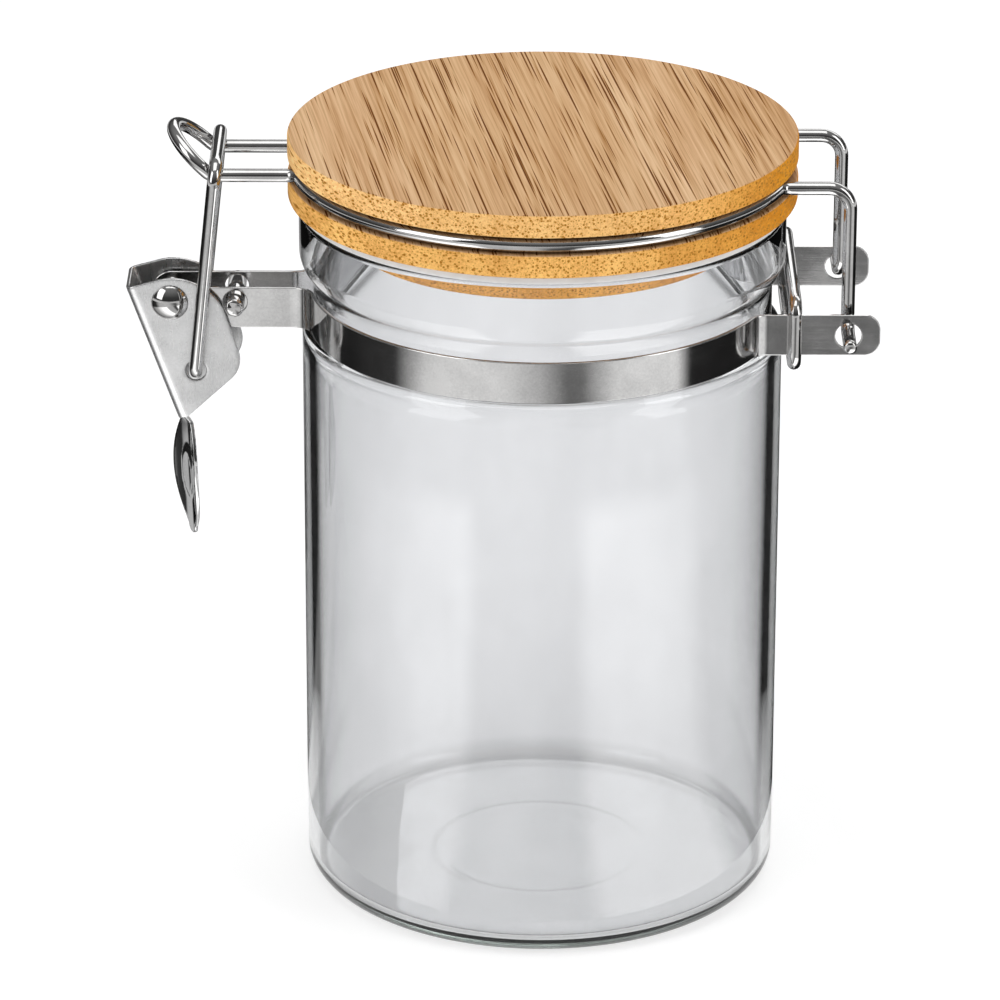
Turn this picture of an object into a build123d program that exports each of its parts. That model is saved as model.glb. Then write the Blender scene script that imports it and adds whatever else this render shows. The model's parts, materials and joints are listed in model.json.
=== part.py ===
"""Clip-lid storage canister: a glass jar with a bamboo lid held by a wire, a strap round
the neck, and an over-centre lever latch.

Millimetres. The jar stands on z = 0 with its axis on Z, the hinge on +X and the latch on -X.
The two sides of the metalwork mirror each other across the plane y = 0.
"""
import os
from math import atan, atan2, cos, degrees, radians, sin, sqrt, tan

from build123d import *

# Glass jar
BODY_R = 49.8
NECK_R = 47.6
MOUTH_R = 50.3
WALL = 2.3
JAR_HEIGHT = 149.1
BASE_THICK = 2.8
BASE_CORNER_R = 5.0
INNER_CORNER_R = 2.6
SHOULDER_Z = 122.7
SHOULDER_R = 1.4
NECK_TOP_Z = 132.4
MOUTH_Z = 139.6
INNER_NECK_Z = 124.0
INNER_BODY_Z = 117.0
FOOT_RING_R = 22.0
FOOT_RING_WIDTH = 1.4
FOOT_RING_DEPTH = 0.3

# Strap round the neck, in two halves
STRAP_THICK = 0.8
STRAP_HEIGHT = 8.8
STRAP_Z = 127.4
STRAP_R = 48.15
HINGE_EAR_Y = 20.5
LATCH_EAR_Y = 4.8
HINGE_EAR_TIP_X = 68.9
HINGE_EAR_ROUND = 3.2
HINGE_EAR_BEND_R = 4.0
LATCH_EAR_BEND_R = 4.6
HINGE_HOLE_R = 2.7
TIE_HOLE_R = 2.5

# Hinge line and wire sizes
HINGE_X = 62.4
HINGE_Z = 127.3
WIRE_R = 1.4
STUB_END_Y = 28.0
WIRE_END_CHAMFER = 0.35

# Lid wire
WIRE_Z = 157.7
WIRE_RING_R = 50.9
HINGE_ARM_Y = 16.6
LATCH_ARM_Y = 9.2
ARM_FILLET_R = 3.0
HINGE_BEND_R = 4.4
STUB_BEND_R = 2.8
NOSE_X = -67.9
NOSE_SLOPE = 43.0
NOSE_BEND_R = 3.0

# Bamboo lid and its seal
LID_R = 52.5
LID_TOP_Z = 164.4
DISC_BOTTOM_Z = 151.15
GROOVE_TOP_Z = 159.7
GROOVE_BOTTOM_Z = 155.85
GROOVE_FLOOR_R = 49.35
GROOVE_FLOOR_TOP_Z = 159.3
GROOVE_FLOOR_BOTTOM_Z = 156.3
LID_EDGE = 0.5
PLUG_R = 44.5
PLUG_SIDE_Z = 146.1
PLUG_TIP_R = 41.6
PLUG_BOTTOM_Z = 142.9
SEAL_GAP = 0.06
SEAL_R = 50.6
SEAL_INNER_R = 44.7
SEAL_ROUND = 0.6

# Link ring round both hinge straps
LINK_X = 51.35
LINK_HALF_Y = HINGE_EAR_Y + 2.3
LINK_LOW_Z = 121.4
LINK_HIGH_Z = 134.6
LINK_CORNER_R = 2.4

# Lever latch
RIVET_X = -76.9
RIVET_Z = 129.0
RIVET_R = 1.6
RIVET_FIT = 0.08
RIVET_HEAD_R = 3.8
RIVET_HEAD_HEIGHT = 1.7
RIVET_HEAD_GAP = 0.1
LEVER_HALF_WIDTH = 6.7
LEVER_THICK = 0.8
LEVER_BEND_R = 1.6
BAIL_HOLE = (5.1, -15.0)
BAIL_HOLE_R = 2.2
TIE_X = -63.5
TIE_Z = 128.6
TIE_R = 1.95
TIE_END_Y = 9.2
TIE_CHAMFER = 0.5

# Finger tab at the lever's foot
TAB_NECK = (2.9, -28.4)
TAB_LEAN = 1.0
TAB_LENGTH = 25.8
TAB_ROOT_WIDTH = 8.6
TAB_ROOT_THICK = 0.7
TAB_HALF_WIDTH = 6.1
TAB_NECK_HALF_WIDTH = 2.5
TAB_TIP_HALF_WIDTH = 1.7
TAB_TWIST = 26.0
TAB_TROUGH_R = 15.0
TAB_THICK = 0.9
TAB_OVAL = (2.7, 5.6)
TAB_OVAL_RISE = 0.35

# Bail
BAIL_TOP = (-66.7, 160.58)
BAIL_TOP_Y = 13.8
BAIL_FOOT_Y = 9.5
BAIL_END_Y = 4.6
BAIL_TOP_BEND_R = 3.6
BAIL_FOOT_BEND_R = 2.4


def s_curve(start, end):
    """Two equal arcs that step a vertical outline sideways from start to end."""
    across = end[0] - start[0]
    along = end[1] - start[1]
    turn = 2 * atan(abs(across / along))
    radius = (across**2 + along**2) / (4 * abs(across))
    up = 1 if along > 0 else -1
    side = 1 if across * along > 0 else -1
    middle = ((start[0] + end[0]) / 2, (start[1] + end[1]) / 2)
    first = JernArc(start, (0, up), radius, -side * degrees(turn))
    second = JernArc(middle, first % 1, radius, side * degrees(turn))
    return [first, second]


def revolved(edges):
    """Solid of revolution about Z from closed outline edges drawn as (radius, height)."""
    return revolve(Plane.XZ * make_face(edges), Axis.Z)


def mirrored(front):
    """The front half of a piece joined to its mirror image across y = 0."""
    return front + mirror(front, Plane.XZ)


def swept_wire(path):
    """Round wire along a path."""
    start = Plane(origin=path @ 0, z_dir=path % 0)
    return sweep(start * Circle(WIRE_R), path=path)


def glass_jar():
    rim_r = WALL / 2
    mouth_inner = MOUTH_R - WALL
    neck_inner = NECK_R - WALL
    body_inner = BODY_R - WALL
    foot = BODY_R - BASE_CORNER_R
    floor = body_inner - INNER_CORNER_R
    floor_corner_z = BASE_THICK + INNER_CORNER_R
    rim_z = JAR_HEIGHT - rim_r
    shelf = BODY_R - SHOULDER_R
    outline = [
        Line((0, 0), (foot, 0)),
        JernArc((foot, 0), (1, 0), BASE_CORNER_R, 90),
        Line((BODY_R, BASE_CORNER_R), (BODY_R, SHOULDER_Z - SHOULDER_R)),
        JernArc((BODY_R, SHOULDER_Z - SHOULDER_R), (0, 1), SHOULDER_R, 90),
        Line((shelf, SHOULDER_Z), (NECK_R, SHOULDER_Z)),
        Line((NECK_R, SHOULDER_Z), (NECK_R, NECK_TOP_Z)),
        *s_curve((NECK_R, NECK_TOP_Z), (MOUTH_R, MOUTH_Z)),
        Line((MOUTH_R, MOUTH_Z), (MOUTH_R, rim_z)),
        JernArc((MOUTH_R, rim_z), (0, 1), rim_r, 180),
        Line((mouth_inner, rim_z), (mouth_inner, MOUTH_Z)),
        *s_curve((mouth_inner, MOUTH_Z), (neck_inner, NECK_TOP_Z)),
        Line((neck_inner, NECK_TOP_Z), (neck_inner, INNER_NECK_Z)),
        *s_curve((neck_inner, INNER_NECK_Z), (body_inner, INNER_BODY_Z)),
        Line((body_inner, INNER_BODY_Z), (body_inner, floor_corner_z)),
        JernArc((body_inner, floor_corner_z), (0, -1), INNER_CORNER_R, -90),
        Line((floor, BASE_THICK), (0, BASE_THICK)),
        Line((0, BASE_THICK), (0, 0)),
    ]
    ring = Cylinder(FOOT_RING_R + FOOT_RING_WIDTH / 2, 2 * FOOT_RING_DEPTH)
    ring -= Cylinder(FOOT_RING_R - FOOT_RING_WIDTH / 2, 2 * FOOT_RING_DEPTH)
    return revolved(outline) - ring


def bend_centre_x(ring_r, bend_r, ear_y):
    """How far from the axis an ear's bend centre lies, for a bend tangent to ring and ear."""
    return sqrt((ring_r + bend_r) ** 2 - (ear_y + bend_r) ** 2)


def ring_with_ears(ring_r, z, hinge_y, hinge_bend, latch_y, latch_bend):
    """Front half of a ring about Z, from its latch-side ear to its hinge-side ear.

    Returns the latch-side tangent point, the edges, and the hinge-side tangent point.
    """
    hinge_cx = bend_centre_x(ring_r, hinge_bend, hinge_y)
    latch_cx = bend_centre_x(ring_r, latch_bend, latch_y)
    hinge_angle = degrees(atan2(hinge_y + hinge_bend, hinge_cx))
    latch_angle = degrees(atan2(latch_y + latch_bend, latch_cx))
    latch_arc = Pos(0, 0, z) * CenterArc(
        (-latch_cx, -latch_y - latch_bend), latch_bend, 90, -(90 - latch_angle)
    )
    ring_arc = Pos(0, 0, z) * CenterArc(
        (0, 0), ring_r, 180 + latch_angle, 180 - latch_angle - hinge_angle
    )
    hinge_arc = Pos(0, 0, z) * CenterArc(
        (hinge_cx, -hinge_y - hinge_bend), hinge_bend, 180 - hinge_angle, -(90 - hinge_angle)
    )
    return (-latch_cx, -latch_y, z), [latch_arc, ring_arc, hinge_arc], (hinge_cx, -hinge_y, z)


def front_band():
    low = STRAP_Z - STRAP_HEIGHT / 2
    latch_point, arcs, hinge_point = ring_with_ears(
        STRAP_R, low, HINGE_EAR_Y, HINGE_EAR_BEND_R, LATCH_EAR_Y, LATCH_EAR_BEND_R
    )
    latch_tip = (RIVET_X - STRAP_HEIGHT / 2, -LATCH_EAR_Y, low)
    hinge_tip = (HINGE_EAR_TIP_X, -HINGE_EAR_Y, low)
    line = Wire([Line(latch_tip, latch_point), *arcs, Line(hinge_point, hinge_tip)])
    latch_end = Plane(origin=latch_tip, x_dir=(0, 1, 0), z_dir=(1, 0, 0))
    strip = latch_end * Pos(0, STRAP_HEIGHT / 2) * Rectangle(STRAP_THICK, STRAP_HEIGHT)
    band = sweep(strip, path=line)
    ends = band.edges().filter_by(Axis.Y)
    band = fillet(ends.group_by(Axis.X)[0], STRAP_HEIGHT / 2 - 0.1)
    band = fillet(band.edges().filter_by(Axis.Y).group_by(Axis.X)[-1], HINGE_EAR_ROUND)
    for x, z, radius in (
        (HINGE_X, HINGE_Z, HINGE_HOLE_R),
        (TIE_X, TIE_Z, TIE_HOLE_R),
        (RIVET_X, RIVET_Z, RIVET_R + 0.02),
    ):
        ear_y = -HINGE_EAR_Y if x > 0 else -LATCH_EAR_Y
        band -= Pos(x, ear_y, z) * Rot(90, 0, 0) * Cylinder(radius, 4 * STRAP_THICK)
    return band


def hinge_link_ring():
    path = FilletPolyline(
        (LINK_X, 0, LINK_LOW_Z),
        (LINK_X, -LINK_HALF_Y, LINK_LOW_Z),
        (LINK_X, -LINK_HALF_Y, LINK_HIGH_Z),
        (LINK_X, 0, LINK_HIGH_Z),
        radius=LINK_CORNER_R,
    )
    return mirrored(swept_wire(path))


def latch_tie_pin():
    pin = Pos(TIE_X, 0, TIE_Z) * Rot(90, 0, 0) * Cylinder(TIE_R, 2 * TIE_END_Y)
    return chamfer(pin.edges().filter_by(GeomType.CIRCLE), TIE_CHAMFER)


def lever_rivet():
    """Shank through both lever cheeks and both ears, with a domed head outside each cheek."""
    head_y = LEVER_HALF_WIDTH + RIVET_HEAD_GAP
    dome_r = (RIVET_HEAD_R**2 + RIVET_HEAD_HEIGHT**2) / (2 * RIVET_HEAD_HEIGHT)
    dome = Sphere(dome_r) & Pos(0, 0, dome_r) * Box(3 * dome_r, 3 * dome_r, 2 * RIVET_HEAD_HEIGHT)
    dome = Pos(0, 0, RIVET_HEAD_HEIGHT - dome_r) * dome
    shank = Pos(0, 0, -head_y) * Cylinder(RIVET_R, 2 * head_y)
    half = Pos(0, -head_y, 0) * Rot(90, 0, 0) * (dome + shank)
    return Pos(RIVET_X, 0, RIVET_Z) * mirrored(half)


def lid_wire():
    """One wire: hinge end, up to the lid, round its groove, out to the nose, and back."""
    latch_point, arcs, hinge_point = ring_with_ears(
        WIRE_RING_R, WIRE_Z, HINGE_ARM_Y, ARM_FILLET_R, LATCH_ARM_Y, ARM_FILLET_R
    )
    slope = radians(NOSE_SLOPE)
    outwards = Vector(-cos(slope), 0, sin(slope))
    nose_start = NOSE_BEND_R * tan(slope / 2) + 0.3
    corner = Vector(NOSE_X, -LATCH_ARM_Y, WIRE_Z)
    loop_plane = Plane(
        origin=Vector(NOSE_X, 0, WIRE_Z) + outwards * nose_start,
        x_dir=outwards,
        z_dir=outwards.cross(Vector(0, -1, 0)),
    )
    nose = loop_plane * CenterArc((0, 0), LATCH_ARM_Y, 0, 90)
    latch_arm = FilletPolyline(nose @ 1, corner, latch_point, radius=NOSE_BEND_R)
    hinge_arm = FilletPolyline(
        hinge_point,
        (HINGE_X, -HINGE_ARM_Y, WIRE_Z),
        (HINGE_X, -HINGE_ARM_Y, HINGE_Z),
        (HINGE_X, -STUB_END_Y, HINGE_Z),
        radius=[HINGE_BEND_R, STUB_BEND_R],
    )
    path = Wire([nose, *latch_arm.edges(), *arcs, *hinge_arm.edges()])
    wire = mirrored(swept_wire(path))
    ends = wire.faces().filter_by(GeomType.PLANE)
    return chamfer(ends.edges(), WIRE_END_CHAMFER)


def bamboo_lid():
    outline = Polyline(
        (0, PLUG_BOTTOM_Z),
        (PLUG_TIP_R, PLUG_BOTTOM_Z),
        (PLUG_R, PLUG_SIDE_Z),
        (PLUG_R, DISC_BOTTOM_Z),
        (LID_R - LID_EDGE, DISC_BOTTOM_Z),
        (LID_R, DISC_BOTTOM_Z + LID_EDGE),
        (LID_R, GROOVE_BOTTOM_Z),
        (GROOVE_FLOOR_R, GROOVE_FLOOR_BOTTOM_Z),
        (GROOVE_FLOOR_R, GROOVE_FLOOR_TOP_Z),
        (LID_R, GROOVE_TOP_Z),
        (LID_R, LID_TOP_Z - LID_EDGE),
        (LID_R - LID_EDGE, LID_TOP_Z),
        (0, LID_TOP_Z),
        close=True,
    )
    return revolved(outline)


def lid_gasket():
    low = JAR_HEIGHT + SEAL_GAP
    height = DISC_BOTTOM_Z - low
    ring = Pos(0, 0, low + height / 2) * (
        Cylinder(SEAL_R, height) - Cylinder(SEAL_INNER_R, height)
    )
    outer = ring.edges().filter_by(GeomType.CIRCLE).group_by(SortBy.RADIUS)[-1]
    return fillet(outer, SEAL_ROUND)


def lever_outline():
    """Cheek outline about the rivet: straight back edge, domed top, clipped lower corner."""
    back_top = (-9.1, 3.1)
    shoulder = (-3.7, 4.5)
    side_top = (10.9, -1.0)
    side_low = (13.9, -10.4)
    clipped = (12.7, -16.6)
    foot_front = (3.4, -25.2)
    foot_back = (1.3, -26.0)
    return make_face(
        [
            Line(back_top, shoulder),
            ThreePointArc(shoulder, (4.9, 4.3), side_top),
            Line(side_top, side_low),
            ThreePointArc(side_low, (14.2, -13.8), clipped),
            Line(clipped, foot_front),
            Line(foot_front, foot_back),
            Line(foot_back, back_top),
        ]
    )


def tab_outline():
    """Leaf shape, its neck at the top and its rounded tip at the bottom."""
    low = -TAB_LENGTH + TAB_TIP_HALF_WIDTH
    belly = -0.42 * TAB_LENGTH
    return make_face(
        [
            Line((-TAB_NECK_HALF_WIDTH, 0), (TAB_NECK_HALF_WIDTH, 0)),
            ThreePointArc(
                (TAB_NECK_HALF_WIDTH, 0), (TAB_HALF_WIDTH, belly), (TAB_TIP_HALF_WIDTH, low)
            ),
            ThreePointArc((TAB_TIP_HALF_WIDTH, low), (0, -TAB_LENGTH), (-TAB_TIP_HALF_WIDTH, low)),
            ThreePointArc(
                (-TAB_TIP_HALF_WIDTH, low), (-TAB_HALF_WIDTH, belly), (-TAB_NECK_HALF_WIDTH, 0)
            ),
        ]
    )


def finger_tab():
    """Dished leaf, hollow on its outer side, with a raised oval; its neck is at the origin."""
    depth = 3 * TAB_THICK
    prism = extrude(tab_outline(), amount=depth, both=True)
    trough = Pos(0, -TAB_LENGTH / 2, TAB_TROUGH_R) * Rot(90, 0, 0)
    sheet = trough * (
        Cylinder(TAB_TROUGH_R + TAB_THICK, 2 * TAB_LENGTH) - Cylinder(TAB_TROUGH_R, 2 * TAB_LENGTH)
    )
    leaf = prism & sheet
    oval = extrude(Pos(0, -0.46 * TAB_LENGTH) * Ellipse(*TAB_OVAL), amount=depth, both=True)
    pad = trough * (
        Cylinder(TAB_TROUGH_R + TAB_THICK / 2, 2 * TAB_LENGTH)
        - Cylinder(TAB_TROUGH_R - TAB_OVAL_RISE, 2 * TAB_LENGTH)
    )
    return leaf + (oval & pad)


def latch_lever():
    """Pressed channel: two cheeks, a back web, and the finger tab twisted at its neck."""
    plan = Plane(origin=(RIVET_X, 0, RIVET_Z), x_dir=(1, 0, 0), z_dir=(0, -1, 0))
    back_top = Vector(-9.1, 3.1)
    foot_back = Vector(1.3, -26.0)
    down = (foot_back - back_top).normalized()
    inward = Vector(-down.Y, down.X)
    block = extrude(plan * lever_outline(), amount=LEVER_HALF_WIDTH, both=True)
    back_line = Axis((0, 0, 0), (down.X, 0, down.Y))
    back_edges = block.edges().filter_by(back_line).group_by(Axis.X)[0]
    reach = 60
    start = back_top + inward * LEVER_THICK - down * reach
    end = foot_back + inward * LEVER_THICK + down * reach
    pocket = make_face(
        Polyline(start, end, end + inward * reach, start + inward * reach, close=True)
    )
    cavity = extrude(plan * pocket, amount=LEVER_HALF_WIDTH - LEVER_THICK, both=True)
    lever = fillet(back_edges, LEVER_BEND_R) - cavity
    for x, z, radius in (
        (RIVET_X, RIVET_Z, RIVET_R + RIVET_FIT),
        (RIVET_X + BAIL_HOLE[0], RIVET_Z + BAIL_HOLE[1], BAIL_HOLE_R),
    ):
        lever -= Pos(x, 0, z) * Rot(90, 0, 0) * Cylinder(radius, 4 * LEVER_HALF_WIDTH)
    twist = radians(TAB_TWIST)
    tab_plane = Plane(
        origin=(RIVET_X + TAB_NECK[0], 0, RIVET_Z + TAB_NECK[1]),
        x_dir=(sin(twist), -cos(twist), 0),
        z_dir=(-cos(twist), -sin(twist), -TAB_LEAN / TAB_LENGTH),
    )
    web_middle = foot_back + inward * LEVER_THICK / 2 - down * LEVER_THICK
    web_foot = Plane(
        origin=(RIVET_X + web_middle.X, 0, RIVET_Z + web_middle.Y),
        x_dir=(0, -1, 0),
        z_dir=(down.X, 0, down.Y),
    )
    tab_top = tab_plane * Plane.XZ.offset(TAB_THICK) * Pos(0, -TAB_THICK / 2)
    neck = loft(
        [
            web_foot * Rectangle(TAB_ROOT_WIDTH, TAB_ROOT_THICK),
            tab_top * Rectangle(2 * TAB_NECK_HALF_WIDTH, TAB_ROOT_THICK),
        ]
    )
    return lever + neck + tab_plane * finger_tab()


def latch_bail():
    foot = (RIVET_X + BAIL_HOLE[0], RIVET_Z + BAIL_HOLE[1])
    path = FilletPolyline(
        (BAIL_TOP[0], 0, BAIL_TOP[1]),
        (BAIL_TOP[0], -BAIL_TOP_Y, BAIL_TOP[1]),
        (foot[0], -BAIL_FOOT_Y, foot[1]),
        (foot[0], -BAIL_END_Y, foot[1]),
        radius=[BAIL_TOP_BEND_R, BAIL_FOOT_BEND_R],
    )
    return mirrored(swept_wire(path))


os.makedirs("parts", exist_ok=True)
front = front_band()
pieces = {
    "glass_jar": glass_jar(),
    "front_band": front,
    "back_band": mirror(front, Plane.XZ),
    "hinge_link_ring": hinge_link_ring(),
    "latch_tie_pin": latch_tie_pin(),
    "lever_rivet": lever_rivet(),
    "lid_wire": lid_wire(),
    "bamboo_lid": bamboo_lid(),
    "lid_gasket": lid_gasket(),
    "latch_lever": latch_lever(),
    "latch_bail": latch_bail(),
}
for name, shape in pieces.items():
    export_step(shape, f"parts/{name}.step")
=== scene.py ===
"""A clip-lid glass canister with a bamboo lid, dressed for a studio picture.

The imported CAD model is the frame. Each visible piece is built here from the sizes below, in
millimetres, and stands where its CAD piece stands. The jar's axis is Z, the hinge is on +X, the
lever latch is on -X, and the metalwork mirrors across y = 0.
"""
import json
from math import atan, atan2, ceil, cos, degrees, hypot, pi, radians, sin, sqrt, tan

import bmesh
import bpy
from mathutils import Matrix, Vector, geometry


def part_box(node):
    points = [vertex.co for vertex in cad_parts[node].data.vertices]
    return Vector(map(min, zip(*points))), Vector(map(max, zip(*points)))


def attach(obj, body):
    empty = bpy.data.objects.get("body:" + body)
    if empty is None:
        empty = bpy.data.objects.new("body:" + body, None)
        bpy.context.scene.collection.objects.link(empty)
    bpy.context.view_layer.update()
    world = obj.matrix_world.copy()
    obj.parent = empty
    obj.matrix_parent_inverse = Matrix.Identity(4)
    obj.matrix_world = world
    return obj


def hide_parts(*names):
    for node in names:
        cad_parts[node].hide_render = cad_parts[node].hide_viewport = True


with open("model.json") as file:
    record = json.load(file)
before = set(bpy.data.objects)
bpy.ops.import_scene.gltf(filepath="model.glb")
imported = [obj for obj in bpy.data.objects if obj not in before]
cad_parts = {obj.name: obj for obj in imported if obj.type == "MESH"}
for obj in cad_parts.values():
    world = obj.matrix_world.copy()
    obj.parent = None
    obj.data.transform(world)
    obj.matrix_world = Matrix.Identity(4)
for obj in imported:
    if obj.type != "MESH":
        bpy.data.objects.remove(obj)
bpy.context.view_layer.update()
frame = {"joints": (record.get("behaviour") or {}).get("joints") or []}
MM = 0.001


def box_mm(node):
    """A node's lowest and highest corners, in millimetres."""
    low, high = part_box(node)
    return [c / MM for c in low], [c / MM for c in high]


def joint_mm(name):
    """A hinge line's x and z, in millimetres."""
    place = next(j["pos_m"] for j in frame["joints"] if j["name"] == name)
    return place[0] / MM, place[2] / MM


# ---- sizes from the frame

JAR_HIGH = box_mm("glass_jar")[1]
BAND_LOW, BAND_HIGH = box_mm("front_band")
LID_LOW, LID_HIGH = box_mm("bamboo_lid")
SEAL_LOW, SEAL_HIGH = box_mm("lid_gasket")
WIRE_HIGH = box_mm("lid_wire")[1]
RING_LOW, RING_HIGH = box_mm("hinge_link_ring")
TIE_LOW, TIE_HIGH = box_mm("latch_tie_pin")
RIVET_LOW, RIVET_HIGH = box_mm("lever_rivet")
BAIL_HIGH = box_mm("latch_bail")[1]
HINGE_X, HINGE_Z = joint_mm("lid_hinge")
RIVET_X, RIVET_Z = joint_mm("lever_pivot")
BAIL_X, BAIL_Z = joint_mm("bail_pivot")

# Glass jar
MOUTH_R = JAR_HIGH[0]
JAR_HEIGHT = JAR_HIGH[2]
BODY_R = 49.8
NECK_R = 47.6
WALL = 2.3
BASE_THICK = 2.8
BASE_CORNER_R = 5.0
INNER_CORNER_R = 2.6
SHOULDER_Z = 122.7
SHOULDER_R = 1.4
NECK_TOP_Z = 132.4
MOUTH_Z = 139.6
INNER_NECK_Z = 124.0
INNER_BODY_Z = 117.0
FOOT_RING_R = 22.0
FOOT_RING_DEPTH = 0.05

# Strap halves
STRAP_THICK = 0.8
STRAP_LOW_Z = BAND_LOW[2]
STRAP_R = 48.15
STRAP_EDGE_R = 0.22
STRAP_MESH_STEP = 0.9
HINGE_EAR_Y = 20.5
LATCH_EAR_Y = 4.8
HINGE_EAR_ROUND = 3.2
HINGE_EAR_BEND_R = 4.0
LATCH_EAR_BEND_R = 4.6
HINGE_HOLE_R = 2.7
TIE_HOLE_R = 2.5
RIVET_HOLE_R = 1.7
TIE_X = (TIE_LOW[0] + TIE_HIGH[0]) / 2
TIE_Z = (TIE_LOW[2] + TIE_HIGH[2]) / 2
TIE_R = (TIE_HIGH[0] - TIE_LOW[0]) / 2

# Wires
WIRE_R = (RING_HIGH[0] - RING_LOW[0]) / 2
WIRE_CHAMFER = 0.35
WIRE_CROWN = 0.05
WIRE_STEP = 1.5
WIRE_Z = 157.7
WIRE_RING_R = WIRE_HIGH[1] - WIRE_R
HINGE_ARM_Y = 16.6
LATCH_ARM_Y = 9.2
ARM_FILLET_R = 3.0
HINGE_BEND_R = 4.4
STUB_BEND_R = 2.8
STUB_END_Y = 28.0
NOSE_X = -67.9
NOSE_SLOPE = 43.0
NOSE_BEND_R = 3.0
NOSE_STRAIGHT = 0.3
LINK_X = (RING_LOW[0] + RING_HIGH[0]) / 2
LINK_HALF_Y = RING_HIGH[1] - WIRE_R
LINK_CORNER_R = 2.4
BAIL_TOP_X = BAIL_HIGH[0] - WIRE_R
BAIL_TOP_Z = BAIL_HIGH[2] - WIRE_R
BAIL_TOP_Y = 13.8
BAIL_FOOT_Y = 9.5
BAIL_END_Y = 4.6
BAIL_TOP_BEND_R = 3.6
BAIL_FOOT_BEND_R = 2.4

# Lid and seal
LID_R = LID_HIGH[0]
LID_TOP_Z = LID_HIGH[2]
DISC_BOTTOM_Z = SEAL_HIGH[2]
GROOVE_TOP_Z = 159.7
GROOVE_BOTTOM_Z = 155.85
GROOVE_FLOOR_R = 49.35
GROOVE_FLOOR_TOP_Z = 159.3
GROOVE_FLOOR_BOTTOM_Z = 156.3
PLUG_R = 44.5
PLUG_SIDE_Z = 146.1
PLUG_TIP_R = 41.6
PLUG_BOTTOM_Z = LID_LOW[2]
LID_EDGE_R = 0.7
SEAL_R = SEAL_HIGH[0]
SEAL_INNER_R = 44.7
SEAL_ROUND = 0.6

# Lever, seen from the front and measured from its rivet
LEVER_HALF_WIDTH = 6.7
LEVER_THICK = 0.8
LEVER_BEND_R = 1.6
LEVER_EDGE_R = 0.2
LEVER_MESH_STEP = 0.6
LEVER_BACK_TOP = (-9.1, 3.1)
LEVER_FOOT_BACK = (1.3, -26.0)
LEVER_SHOULDER = (-3.7, 4.5)
LEVER_CROWN = (4.9, 4.3)
LEVER_SIDE_TOP = (10.9, -1.0)
LEVER_SIDE_LOW = (13.9, -10.4)
LEVER_CORNER = (14.2, -13.8)
LEVER_CLIPPED = (12.7, -16.6)
LEVER_FOOT_FRONT = (3.4, -25.2)
BAIL_HOLE_R = 2.2
TAB_NECK = (2.9, -28.4)
TAB_LEAN = 1.0
TAB_LENGTH = 25.8
TAB_HALF_WIDTH = 6.1
TAB_NECK_HALF_WIDTH = 2.5
TAB_TIP_HALF_WIDTH = 1.7
TAB_TWIST = 26.0
TAB_TROUGH_R = 15.0
TAB_OVAL = (2.7, 5.6)
TAB_OVAL_RISE = 0.35
RIVET_HEAD_R = (RIVET_HIGH[0] - RIVET_LOW[0]) / 2
RIVET_HEAD_HEIGHT = 1.7
RIVET_R = 1.6


# ---- mesh helpers

def in_scene(name, data):
    """A new object with this data, linked to the scene."""
    thing = bpy.data.objects.new(name, data)
    bpy.context.scene.collection.objects.link(thing)
    return thing


def new_object(name, vertices, faces, body, node, normals=None):
    """A smooth mesh object from millimetre vertices, riding on a body in place of a CAD node."""
    mesh = bpy.data.meshes.new(name)
    mesh.from_pydata([(x * MM, y * MM, z * MM) for x, y, z in vertices], [], faces)
    mesh.update()
    work = bmesh.new()
    work.from_mesh(mesh)
    bmesh.ops.recalc_face_normals(work, faces=work.faces)
    work.to_mesh(mesh)
    work.free()
    mesh.polygons.foreach_set("use_smooth", [True] * len(mesh.polygons))
    if normals is not None:
        mesh.normals_split_custom_set_from_vertices([tuple(n) for n in normals])
    mesh.update()
    piece = in_scene(name, mesh)
    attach(piece, body)
    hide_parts(node)
    return piece


def arc(centre, radius, start, end, steps=12):
    """Points on a flat arc, its angles in degrees."""
    angles = [radians(start + (end - start) * k / steps) for k in range(steps + 1)]
    return [(centre[0] + radius * cos(a), centre[1] + radius * sin(a)) for a in angles]


def round_hole(centre, radius):
    """A closed circle of points, its first one not repeated."""
    return arc(centre, radius, 0, 345, 23)


def s_curve(start, end, steps=16):
    """Two equal arcs that step a vertical outline sideways."""
    across = end[0] - start[0]
    along = end[1] - start[1]
    turn = 2 * atan(abs(across / along))
    radius = (across**2 + along**2) / (4 * abs(across))
    points = []
    for k in range(steps + 1):
        angle = turn * k / steps
        shift = radius * (1 - cos(angle)) * (1 if across > 0 else -1)
        rise = radius * sin(angle) * (1 if along > 0 else -1)
        points.append((start[0] + shift, start[1] + rise))
    second = [(start[0] + end[0] - r, start[1] + end[1] - z) for r, z in points]
    return points + second[::-1][1:]


def three_point_arc(a, b, c, steps=16):
    """Points on the arc from a through b to c."""
    ax, ay, bx, by, cx, cy = *a, *b, *c
    d = 2 * (ax * (by - cy) + bx * (cy - ay) + cx * (ay - by))
    a2, b2, c2 = ax**2 + ay**2, bx**2 + by**2, cx**2 + cy**2
    x = (a2 * (by - cy) + b2 * (cy - ay) + c2 * (ay - by)) / d
    y = (a2 * (cx - bx) + b2 * (ax - cx) + c2 * (bx - ax)) / d
    start = atan2(ay - y, ax - x)
    middle = (atan2(by - y, bx - x) - start) % (2 * pi)
    end = (atan2(cy - y, cx - x) - start) % (2 * pi)
    if middle > end:
        end -= 2 * pi
    return arc((x, y), hypot(ax - x, ay - y), degrees(start), degrees(start + end), steps)


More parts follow.
